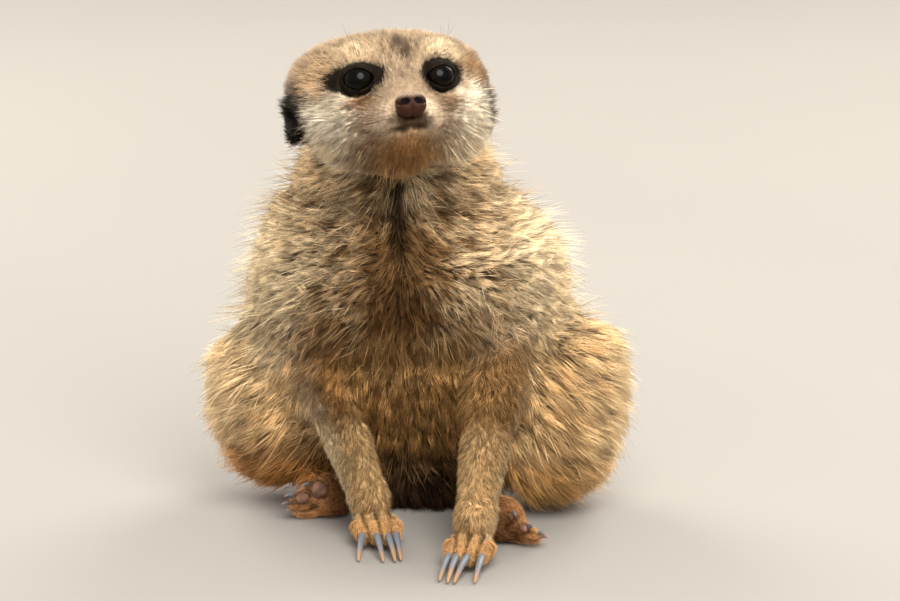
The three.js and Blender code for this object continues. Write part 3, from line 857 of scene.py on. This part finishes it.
# %% Sowing roots over part of the skin
skin.data.calc_loop_triangles()
tri = all_of(skin.data.loop_triangles, "vertices", 3, np.int64)
tri_kind = kind[tri[:, 0]]
a, b, c = (points[tri[:, i]] for i in range(3))
tri_area = span(np.cross(b - a, c - a)) / 2
tri_middle = (a + b + c) / 3
CELL = 6  # roots are shared out evenly over cells of this size


def unwrapped(faces):
    """The places of a part of the skin on an unwrap of its own, three to a face."""
    used, renumbered = np.unique(faces, return_inverse=True)
    scalp = bpy.data.meshes.new("scalp")
    scalp.from_pydata(points[used].tolist(), [], renumbered.reshape(-1, 3).tolist())
    piece = put("scalp", scalp)
    picked(piece)
    mode("EDIT")
    bpy.ops.mesh.select_all(action="SELECT")
    bpy.ops.uv.smart_project(angle_limit=math.radians(70), island_margin=0.004)
    mode("OBJECT")
    spots = all_of(scalp.uv_layers.active.data, "uv", 2)
    bpy.data.objects.remove(piece)
    bpy.data.meshes.remove(scalp)
    return spots.reshape(-1, 3, 2)


def sown(faces, dice):
    """Picks a face for each root and a place in it, evenly for the density asked."""
    expected = tri_area[faces] * density[tri[faces]].mean(1)
    cells = np.floor(tri_middle[faces] / CELL).astype(int)
    order = np.lexsort((cells[:, 0], cells[:, 1], cells[:, 2]))
    total = np.cumsum(expected[order])
    count = int(total[-1])
    picks = order[np.searchsorted(total, (np.arange(count) + dice.random(count)) * total[-1] / count)]
    u, v = np.sqrt(dice.random(count)), dice.random(count)
    return picks, np.stack([1 - u, u * (1 - v), u * v], 1)


# %% Bending tufts up from their roots, and drawing them into locks
def curved(root, out, ahead, long, rises, segments, bend, dice):
    """The line of each tuft, from its root to its tip."""
    count = len(root)
    foot = np.arcsin(np.clip(rises / long, 0.05, 0.95)) / (1 - bend / 2)
    foot = np.clip(foot * dice.uniform(0.8, 1.15, count), 0.08, 1.4)
    middles = (np.arange(segments) + 0.5) / segments
    angle = (foot[:, None] * (1 - bend * middles))[..., None]
    curl = (dice.normal(0, 0.12, count)[:, None] * middles)[..., None]
    out, ahead, side = out[:, None], ahead[:, None], np.cross(out, ahead)[:, None]
    step = np.cos(angle) * ahead + np.sin(angle) * out + curl * side
    step = step * (long / segments)[:, None, None]
    return root[:, None] + np.concatenate([np.zeros((count, 1, 3)), np.cumsum(step, 1)], 1)


def leaders_of(root, spacing, dice):
    """The leader of the lock that each root belongs to, which is the nearest one."""
    chosen = np.sort(dice.choice(len(root), max(1, len(root) // spacing), replace=False))
    tree = kdtree.KDTree(len(chosen))
    for number, leader in enumerate(chosen):
        tree.insert(root[leader], number)
    tree.balance()
    return chosen[[tree.find(p)[1] for p in root]]


def gathered(line, leader, strength):
    """Leans tufts towards their leader's tip, more and more along their length."""
    share = (np.arange(line.shape[1]) / (line.shape[1] - 1)) ** 1.4
    lean = (line[leader, -1] - line[:, -1]) * strength[:, None]
    return line + lean[:, None] * share[None, :, None]


# %% Closed blades round those lines
def bladed(line, out, ahead, wide):
    """Corners and faces of closed three-sided blades round the lines."""
    count, rings = line.shape[0], line.shape[1] - 1
    side = unit(np.cross(out, ahead))
    corners = np.empty((count, rings * 3 + 1, 3))
    for ring in range(rings):
        forward = unit(line[:, ring + 1] - line[:, ring])
        over = np.cross(forward, side)
        half = wide[:, None] / 2 * (1 - 0.62 * (ring / rings) ** 1.3)
        for i, turn in enumerate(np.radians([90, 210, 330])):
            corner = line[:, ring] + half * (math.cos(turn) * side + 0.7 * math.sin(turn) * over)
            corners[:, ring * 3 + i] = corner
    corners[:, -1] = line[:, -1]
    pattern = [(0, 2, 1)]
    for ring in range(rings - 1):
        for i in range(3):
            low, high = ring * 3 + i, ring * 3 + (i + 1) % 3
            pattern += [(low, high, high + 3), (low, high + 3, low + 3)]
    last = (rings - 1) * 3
    pattern += [(last + i, last + (i + 1) % 3, rings * 3) for i in range(3)]
    faces = np.array(pattern)[None] + (np.arange(count) * (rings * 3 + 1))[:, None, None]
    return corners, faces.reshape(-1, 3), np.array(pattern)


def written(name, corners, faces):
    """A mesh object straight from arrays of corners and three-sided faces."""
    mesh = bpy.data.meshes.new(name)
    mesh.vertices.add(len(corners))
    mesh.loops.add(len(faces) * 3)
    mesh.polygons.add(len(faces))
    mesh.vertices.foreach_set("co", (corners * MM).ravel())
    mesh.loops.foreach_set("vertex_index", faces.ravel().astype(np.int32))
    mesh.polygons.foreach_set("loop_start", np.arange(0, len(faces) * 3, 3, dtype=np.int32))
    mesh.polygons.foreach_set("use_smooth", np.ones(len(faces), bool))
    mesh.update()
    mesh.validate()
    return put(name, mesh)


# %% One piece of the coat, from lines to a finished mesh
PATCH = 0.0026  # a tuft's size on the map
ROOT_SINK = 0.35  # roots start this far under the skin
LOWEST_LINE, LOWEST_CORNER = 0.4, 0.05  # the least heights of a tuft's line and of its corners
grown = 0


def shown(name, line, out, ahead, wide, home, notes):
    """Writes tufts along lines as one piece, with their notes and their places on the map."""
    global grown
    segments = line.shape[1] - 1
    corners, blades, pattern = bladed(line, out, ahead, wide)
    corners[..., 2] = np.maximum(corners[..., 2], LOWEST_CORNER)
    piece = written(name, corners.reshape(-1, 3), blades)
    for key, values in notes.items():
        noted(piece.data, key, np.repeat(values, corners.shape[1], 0))
    heights = np.append(np.repeat(np.arange(segments), 3), segments) / segments
    noted(piece.data, "along", np.tile(heights, len(line)))
    across = np.append(np.tile([0, 0.5, 1.0], segments), 0.5)
    spot = np.stack([across - 0.5, heights - 0.5], 1)[pattern.ravel()] * PATCH
    uv = piece.data.uv_layers.new(name="OFBake")
    uv.data.foreach_set("uv", (home[:, None] + spot[None]).clip(0, 1).astype(np.float32).ravel())
    piece.data.materials.append(FUR)
    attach(piece, "root")
    grown += len(blades)
    print(name, "tufts", len(line), "triangles", len(blades))


def coat(name, regions, segments, seed, where=None, spacing=12, share=1.0, longer=1.0, stand=0.0):
    """Grows the tufts of some regions as one piece; guard hairs are few, longer and stand out more."""
    dice = np.random.default_rng(seed)
    chosen = np.isin(tri_kind, columns(*regions))
    if where is not None:
        chosen &= where(tri_middle)
    faces = np.flatnonzero(chosen)
    spread = unwrapped(tri[faces])
    picks, weights = sown(faces, dice)
    kept = dice.random(len(picks)) < share
    picks, weights = picks[kept], weights[kept]
    own = tri[faces[picks]]
    count = len(own)

    def at_root(values):
        return (values[own] * (weights if values.ndim == 1 else weights[..., None])).sum(1)

    def varied(low, high):
        """A chance factor for each tuft, times one that its whole lock shares."""
        return dice.uniform(low, high, count) * dice.uniform(0.85, 1.12, count)[leader]

    root, out = at_root(points), unit(at_root(normals))
    leader = leaders_of(root, spacing, dice)
    loose, together = dice.normal(size=(count, 3)), dice.normal(size=(count, 3))[leader]
    stray = at_root(fluff)[:, None] * (0.8 * together + 0.45 * loose)
    ahead = at_root(flow) + stray + 0.14 * np.stack([wander(root, 7, seed + i) for i in range(3)], 1)
    ahead = unit(ahead - (ahead * out).sum(1, keepdims=True) * out)
    long = longer * at_root(length) * varied(0.75, 1.15)
    rises = at_root(rise) * varied(0.8, 1.1)
    rises = rises * (1 + stand * 0.4) + stand * (long - rises) * 0.6
    root = root - out * ROOT_SINK
    line = curved(root, out, ahead, long, rises, segments, 0.62 - 0.3 * stand, dice)
    line = gathered(line, leader, at_root(gather) * (1 - 0.5 * stand))
    line[:, 1:, 2] = np.maximum(line[:, 1:, 2], LOWEST_LINE)
    wide = at_root(width) * dice.uniform(0.75, 1.3, count) * (1 - 0.35 * stand)
    chance = 0.4 * dice.random(count) + 0.6 * dice.random(count)[leader]
    chance = 0.42 + (chance - 0.42) * at_root(variety)
    astray = (loose + together) * (0.1 + 0.085 * long)[:, None]
    notes = {"marking": markings_and_painted_light(root + astray, at_root(shares)), "chance": chance}
    notes["root_shade"] = at_root(table[:, ROOT_SHADE])
    home = (spread[picks] * weights[..., None]).sum(1)
    shown(name, line, out, ahead, wide, home, notes)


# %% [markdown]
# ## Hair, skin and leather
# Each hair of a meerkat is dark at its root, buff along its shaft and now and then dark again at its
# tip. One node group tells that story for skin and coat alike, from the marks and painted light, the
# way along the hair and a chance number. The shaders stay in the materials, and so does the sheen, as
# a plain number.

# %% Node helpers
def added(tree, kind, **settings):
    node = tree.nodes.new(kind)
    for key, value in settings.items():
        setattr(node, key, value)
    return node


def fed(tree, socket, value):
    """Sets a socket to a number or a colour, or links it to another socket."""
    if isinstance(value, (int, float, tuple)):
        socket.default_value = value
    else:
        tree.links.new(value, socket)


def maths(tree, operation, *values):
    """A sum, product or the like of two sockets or numbers."""
    node = added(tree, "ShaderNodeMath", operation=operation)
    for socket, value in zip(node.inputs, values):
        fed(tree, socket, value)
    return node.outputs[0]


def ranged(tree, value, low, high, to_low=0, to_high=1):
    """A socket's value moved from one range to another."""
    node = added(tree, "ShaderNodeMapRange", interpolation_type="SMOOTHSTEP")
    ends = {"Value": value, "From Min": low, "From Max": high, "To Min": to_low, "To Max": to_high}
    for key, end in ends.items():
        fed(tree, node.inputs[key], end)
    return node.outputs["Result"]


def blended(tree, factor, first, second):
    """Two colours mixed, as sockets or plain colours."""
    node = added(tree, "ShaderNodeMix", data_type="RGBA")
    for key, value in ((0, factor), (6, first), (7, second)):
        fed(tree, node.inputs[key], value)
    return node.outputs[2]


def pattern(tree, kind, scale):
    """A texture fixed to the piece, with its scale."""
    node = added(tree, kind)
    node.inputs["Scale"].default_value = scale
    tree.links.new(added(tree, "ShaderNodeTexCoord").outputs["Object"], node.inputs["Vector"])
    return node


def read(tree, name, output="Fac"):
    """A number or colour that was noted at the mesh's points."""
    return added(tree, "ShaderNodeAttribute", attribute_name=name).outputs[output]


def relief(tree, shader, height, depth, strength):
    """Bump for a shader, its depth in millimetres."""
    node = added(tree, "ShaderNodeBump")
    node.inputs["Distance"].default_value = depth * MM
    node.inputs["Strength"].default_value = strength
    tree.links.new(height, node.inputs["Height"])
    tree.links.new(node.outputs["Normal"], shader.inputs["Normal"])


# %% The group for banded hair
# What is noted at the points, and the socket of the group that takes it.
READ = {"marking": "Marks And Painted Light", "along": "Along", "chance": "Chance", "root_shade": "Root Shade"}
COLOUR_SOCKETS = ("Marks And Painted Light", "Color")

banded = bpy.data.node_groups.new("banded_hair", "ShaderNodeTree")
for way_in, names in (("INPUT", READ.values()), ("OUTPUT", ("Color", "Roughness", "Grain"))):
    for name in names:
        what = "NodeSocketColor" if name in COLOUR_SOCKETS else "NodeSocketFloat"
        banded.interface.new_socket(name, in_out=way_in, socket_type=what)
given = added(banded, "NodeGroupInput").outputs
result = added(banded, "NodeGroupOutput").inputs

root_dark = ranged(banded, given["Along"], 0.05, 0.8, given["Root Shade"], 1.0)
tip_dark = ranged(banded, given["Chance"], 0.66, 0.86, 0.0, 0.75)
near_tip = ranged(banded, given["Along"], 0.55, 0.95)
tip_shade = maths(banded, "SUBTRACT", 1.0, maths(banded, "MULTIPLY", tip_dark, near_tip))
lift = ranged(banded, given["Chance"], 0.15, 0.75, 1.75, 0.70)
pale_tip = ranged(banded, given["Along"], 0.6, 1.0, 1.0, 1.3)
speckle = pattern(banded, "ShaderNodeTexNoise", 900)
shade = ranged(banded, speckle.outputs["Fac"], 0.3, 0.7, 0.86, 1.14)
for factor in (root_dark, tip_shade, lift, pale_tip):
    shade = maths(banded, "MULTIPLY", shade, factor)
scaled = added(banded, "ShaderNodeVectorMath", operation="SCALE")
banded.links.new(given["Marks And Painted Light"], scaled.inputs[0])
banded.links.new(shade, scaled.inputs["Scale"])
banded.links.new(scaled.outputs[0], result["Color"])
banded.links.new(ranged(banded, given["Along"], 0.0, 1.0, 0.78, 0.55), result["Roughness"])
banded.links.new(speckle.outputs["Fac"], result["Grain"])
print("banded hair:", len(banded.nodes), "nodes")


# %% Materials
def principled(name, **settings):
    """A material with plain numbers on its shader's sockets."""
    material = bpy.data.materials.new(name)
    material.use_nodes = True
    shader = material.node_tree.nodes["Principled BSDF"]
    for key, value in settings.items():
        shader.inputs[key.replace("_", " ")].default_value = value
    return material, material.node_tree, shader


def haired(name, bump, **settings):
    """A material that paints with the banded hair group."""
    material, tree, shader = principled(name, **settings)
    group = added(tree, "ShaderNodeGroup", node_tree=banded)
    for key, socket in READ.items():
        output = "Color" if key == "marking" else "Fac"
        tree.links.new(read(tree, key, output), group.inputs[socket])
    tree.links.new(group.outputs["Color"], shader.inputs["Base Color"])
    tree.links.new(group.outputs["Roughness"], shader.inputs["Roughness"])
    if bump:
        relief(tree, shader, group.outputs["Grain"], bump, 0.6)
    return material


FUR = haired("fur", 0, Specular_IOR_Level=0.07)
HIDE = haired("hide_under_the_fur", 0.4, Specular_IOR_Level=0.03)
skin.data.materials.clear()
skin.data.materials.append(HIDE)

# %% [markdown]
# ## The coat, piece by piece
# The coat is grown in pieces that each stay light enough to handle. Each names its piece, regions,
# steps in a tuft and seed, and some name the part of the region, tufts to a lock and share of the
# roots. Guard hairs are the long stiff hairs that stand out of the coat: few, longer and steeper.

# %% Grow the coat
def head_y(q):
    return in_head(q)[:, 1]


def under_ears(q):
    m = in_head(q)
    return (m[:, 1] >= -22) & (m[:, 2] < 8) & (np.abs(m[:, 0]) < 32)


coat("coat_face", FACE, 1, 101, lambda q: head_y(q) < -24, 8)
coat("coat_cheeks", FACE, 1, 102, lambda q: (head_y(q) >= -24) & (head_y(q) < -6), 8)
coat("coat_crown", FACE, 1, 103, lambda q: head_y(q) >= -6, 9, 0.85)
coat("coat_ears", ("ear",), 1, 104)
coat("coat_neck", ("neck",), 1, 105)
coat("coat_chest_front", ("chest",), 1, 106, lambda q: q[:, 1] < -2)
coat("coat_chest_back", ("chest",), 1, 107, lambda q: q[:, 1] >= -2, 12, 0.67)
coat("coat_belly", ("belly",), 2, 108)
coat("coat_rump", ("rump",), 2, 114)
coat("coat_haunch_right", HIPS, 2, 109, lambda q: q[:, 0] < 0)
coat("coat_haunch_left", HIPS, 2, 110, lambda q: q[:, 0] >= 0)
coat("coat_forelegs", ARMS, 1, 111, None, 6)
coat("coat_feet", ("forepaw", "hind_foot"), 1, 112, None, 6)
coat("coat_tail", TAIL, 1, 113)
coat("guard_hairs_body", ("neck", "chest"), 2, 115, None, 3, 0.032, 1.9, 0.9)
coat("guard_hairs_haunches", (*HIPS, "rump"), 3, 116, None, 4, 0.06, 1.2, 0.45)
coat("guard_hairs_cheeks", FACE, 2, 117, under_ears, 3, 0.03, 1.4, 0.45)

# %% [markdown]
# ## Whiskers
# Fine dark bristles from the whisker beds beside the nose and from above the eyes. They are made as
# tufts are, with a line of five steps that sags a little, but each is drawn on its own.

# %% Whiskers
BEDS = [
    # middle and reach of the bed, way the whiskers point, how many, length, stray
    ((9.5, -39.5, -7.5), (4.5, 6, 3.5), (0.9, -0.10, -0.22), 15, 24, 0.26),
    ((15, -18, 18), (6, 6, 4), (0.25, -0.25, 0.9), 4, 13, 0.25),
]
WHISKER_WIDTH = 0.12
BOTH_SIDES = (-1, 1)


def whiskers(name, seed):
    """Long thin bristles from the whisker beds and from above the eyes."""
    dice = np.random.default_rng(seed)
    middles = in_head(tri_middle)

    def in_bed(sign, middle, reach):
        return span((middles - np.array(middle) * [sign, 1, 1]) / reach) < 1

    beds = [in_bed(sign, *bed[:2]) for sign in BOTH_SIDES for bed in BEDS]
    faces = np.flatnonzero(np.any(beds, axis=0))
    spread = unwrapped(tri[faces])
    drawn = []
    for sign in BOTH_SIDES:
        for middle, reach, way, number, long, stray in BEDS:
            inside = np.flatnonzero(in_bed(sign, middle, reach)[faces])
            for pick in dice.choice(inside, number, replace=False):
                out = unit(normals[tri[faces[pick]]].mean(0))
                ahead = unit(np.array(way) * [sign, 1, 1] + dice.normal(0, stray, 3)) @ HEAD_TURN.T
                ahead = unit(ahead + 0.35 * out)
                steps = np.linspace(0, 1, 6)[:, None] * long * dice.uniform(0.6, 1.15)
                sag = -0.0022 * long * (steps / 10) ** 2 * [0, 0, 6]
                line = tri_middle[faces[pick]] + ahead * steps + sag
                upward = unit(np.cross(np.cross(ahead, out), ahead))
                drawn.append((line, upward, ahead, spread[pick].mean(0)))
    line, out, ahead, home = (np.array(values) for values in zip(*drawn))
    count = len(line)
    notes = {"marking": np.tile(paint("241a15"), (count, 1))}
    notes |= {"chance": np.full(count, 0.45), "root_shade": np.ones(count)}
    shown(name, line, out, ahead, np.full(count, WHISKER_WIDTH), home, notes)


whiskers("whiskers", 118)
print("coat in all:", grown, "triangles")

# %% [markdown]
# ## Eyes
# A round, wet, nearly black ball, a little flatter in front, which keeps the lamp's highlight broad.
# The iris is a dark brown ring that shows only where light falls across it, and the rim of the ball is
# a dull dark brown.

# %% Eyes
def ball(name, detail):
    """A smooth ball of radius one millimetre."""
    bpy.ops.mesh.primitive_uv_sphere_add(segments=detail, ring_count=detail // 2, radius=MM)
    piece = bpy.context.object
    piece.name = name
    piece.data.name = name
    bpy.ops.object.shade_smooth()
    return piece


FLATTER = 0.12  # how far the front of the ball stands in

EYE, tree, shader = principled("eye", Roughness=0.19, Specular_IOR_Level=0.105)
ring = read(tree, "off_centre")
streaks = pattern(tree, "ShaderNodeTexNoise", 1400)
iris = blended(tree, streaks.outputs["Fac"], (0.0015, 0.001, 0.0006, 1), (0.004, 0.002, 0.001, 1))
inner = blended(tree, ranged(tree, ring, 0.50, 0.62), (0.0005, 0.0005, 0.0005, 1), iris)
rim = blended(tree, ranged(tree, ring, 0.95, 1.10), inner, (0.002, 0.0015, 0.001, 1))
tree.links.new(rim, shader.inputs["Base Color"])

for side in EYES:
    eye = ball(f"eyeball_{side}", 40)
    way = places(eye.data)
    off = np.arccos(np.clip(way @ GAZE[side], -1, 1))
    radius = EYE_RADIUS - FLATTER * ramp(0.85, 0.15, off)
    place(eye.data, from_head(EYES[side] + way * radius[:, None]))
    noted(eye.data, "off_centre", off)
    eye.data.materials.append(EYE)
    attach(eye, "root")
    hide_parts(f"eye_{side}")

# %% [markdown]
# ## Nose
# Bare, moist, dark leather with a fine pebbled grain, two comma-shaped nostrils that open to the
# sides, and a groove down its front that runs on into the lip. It starts as a ball, is squared to a
# boxy form, and the hollows are pushed into it.

# %% Nose
NOSE_AT = np.array([0, -44.6, -5.0])
NOSE_SIZE = [5.6, 4.4, 4.7]  # half its width, depth and height
BOXY = 2.7  # 2 would be a ball, and more is squarer

nose = ball("nose_pad", 72)
way = places(nose.data)
form = way / (np.abs(way) ** BOXY).sum(1, keepdims=True) ** (1 / BOXY) * NOSE_SIZE
form[:, 0] *= 1 - 0.12 * ramp(-0.2, -1, way[:, 2]) - 0.12 * ramp(0.3, 1, way[:, 2])
form[:, 1] += 0.8 * ramp(0.2, 1, way[:, 2])
inward = np.zeros(len(way))
for sign in BOTH_SIDES:
    pit = span((form - [sign * 2.7, -3.7, 1.3]) / [2.0, 2.6, 1.6])
    slit = span((form - [sign * 4.3, -2.9, 0.4]) / [1.4, 2.2, 0.7])
    inward += 2.3 * ramp(1.15, 0.45, pit) + 1.0 * ramp(1.2, 0.5, slit)
    inward -= 0.12 * ramp(1.0, 0.2, np.abs(pit - 1.6))
inward += 0.55 * bell(form[:, 0], 0.45) * ramp(1.0, -1.2, form[:, 2])
place(nose.data, from_head(NOSE_AT + form - unit(way * [1, 1.5, 1]) * inward[:, None]))
# hollow marks the nostrils and the groove, which the leather paints in shade
noted(nose.data, "hollow", np.clip(inward / 1.8, 0, 1))
noted(nose.data, "low", ramp(0.55, -0.25, way[:, 2]))
# top marks the paler top of the nose, which is partly its own skin and partly a painted highlight
noted(nose.data, "top", ramp(0.38, 0.72, way[:, 2]))

# %% Leather of the nose
LEATHER, tree, shader = principled("nose_leather", Specular_IOR_Level=0.13)
pebbles = pattern(tree, "ShaderNodeTexVoronoi", 2600).outputs["Distance"]
ridge = blended(tree, read(tree, "low"), (0.034, 0.013, 0.007, 1), (0.036, 0.009, 0.003, 1))
# The paler top: partly the leather's own paler skin, partly a painted highlight of the light from above.
ridge = blended(tree, read(tree, "top"), ridge, (0.50, 0.36, 0.26, 1))
warm = blended(tree, pebbles, ridge, (0.022, 0.009, 0.004, 1))
hollow = read(tree, "hollow")
# Painted shade: the nostrils and the groove are darkened where they are hollow.
dark = blended(tree, ranged(tree, hollow, 0.15, 0.6), warm, (0.006, 0.003, 0.003, 1))
tree.links.new(dark, shader.inputs["Base Color"])
tree.links.new(ranged(tree, hollow, 0.1, 0.4, 0.40, 0.95), shader.inputs["Roughness"])
relief(tree, shader, pebbles, 0.12, 0.7)
nose.data.materials.append(LEATHER)
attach(nose, "root")
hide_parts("nose")

# %% [markdown]
# ## Claws
# Long blunt horns for digging, blue-grey where the quick shows at the root and tan and clearer at the
# tip. The solids already bend them right, so each claw is a merged copy of its solid, rounded by a
# subdivision surface and swollen back towards its full thickness.

# %% Horn
CLAW, tree, shader = principled("claw", Specular_IOR_Level=0.55)
grain = pattern(tree, "ShaderNodeTexNoise", 1600).outputs["Fac"]
root_horn = blended(tree, grain, (0.10, 0.115, 0.14, 1), (0.21, 0.23, 0.26, 1))
tip = ranged(tree, read(tree, "along"), 0.55, 1.0)
tree.links.new(blended(tree, tip, root_horn, (0.40, 0.22, 0.10, 1)), shader.inputs["Base Color"])
tree.links.new(ranged(tree, grain, 0.2, 0.8, 0.28, 0.5), shader.inputs["Roughness"])

# %% Claws, foot by foot
SWELL = {"foreclaw": 0.35, "hindclaw": -0.1}  # how far the horn is moved out at its root

for limb in SWELL:
    for side in EYES:
        names = [f"{limb}_{side}_{i}" for i in range(1, 5)]
        claws = joined(f"{limb}s_{side}", names)
        applied(claws, "SUBSURF", levels=2, render_levels=2)
        at = places(claws.data)
        share = np.zeros(len(at))
        for name in names:
            low, high = (np.array(v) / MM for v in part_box(name))
            mine = ((at > low - 0.5) & (at < high + 0.5)).all(1)
            share[mine] = ((high[1] - at[:, 1]) / (high[1] - low[1]))[mine]
        share = share.clip(0, 1)
        at = at + facing(claws.data) * (SWELL[limb] - 0.2 * share)[:, None]
        at[:, 2] = np.maximum(at[:, 2], 0.12)
        place(claws.data, at)
        bpy.ops.object.shade_smooth()
        noted(claws.data, "along", share)
        claws.data.materials.append(CLAW)
        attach(claws, "root")
        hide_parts(*names)

# %% [markdown]
# ## Floor finish
# A plain, pale, matt floor with a faint cloud in it, so that nothing draws the eye from the animal.

# %% Floor finish
FLOOR, tree, shader = principled("pale_floor", Roughness=0.75)
cloud = pattern(tree, "ShaderNodeTexNoise", 3).outputs["Fac"]
pale = blended(tree, cloud, (0.285, 0.272, 0.253, 1), (0.315, 0.30, 0.278, 1))
tree.links.new(pale, shader.inputs["Base Color"])
floor.data.materials.append(FLOOR)
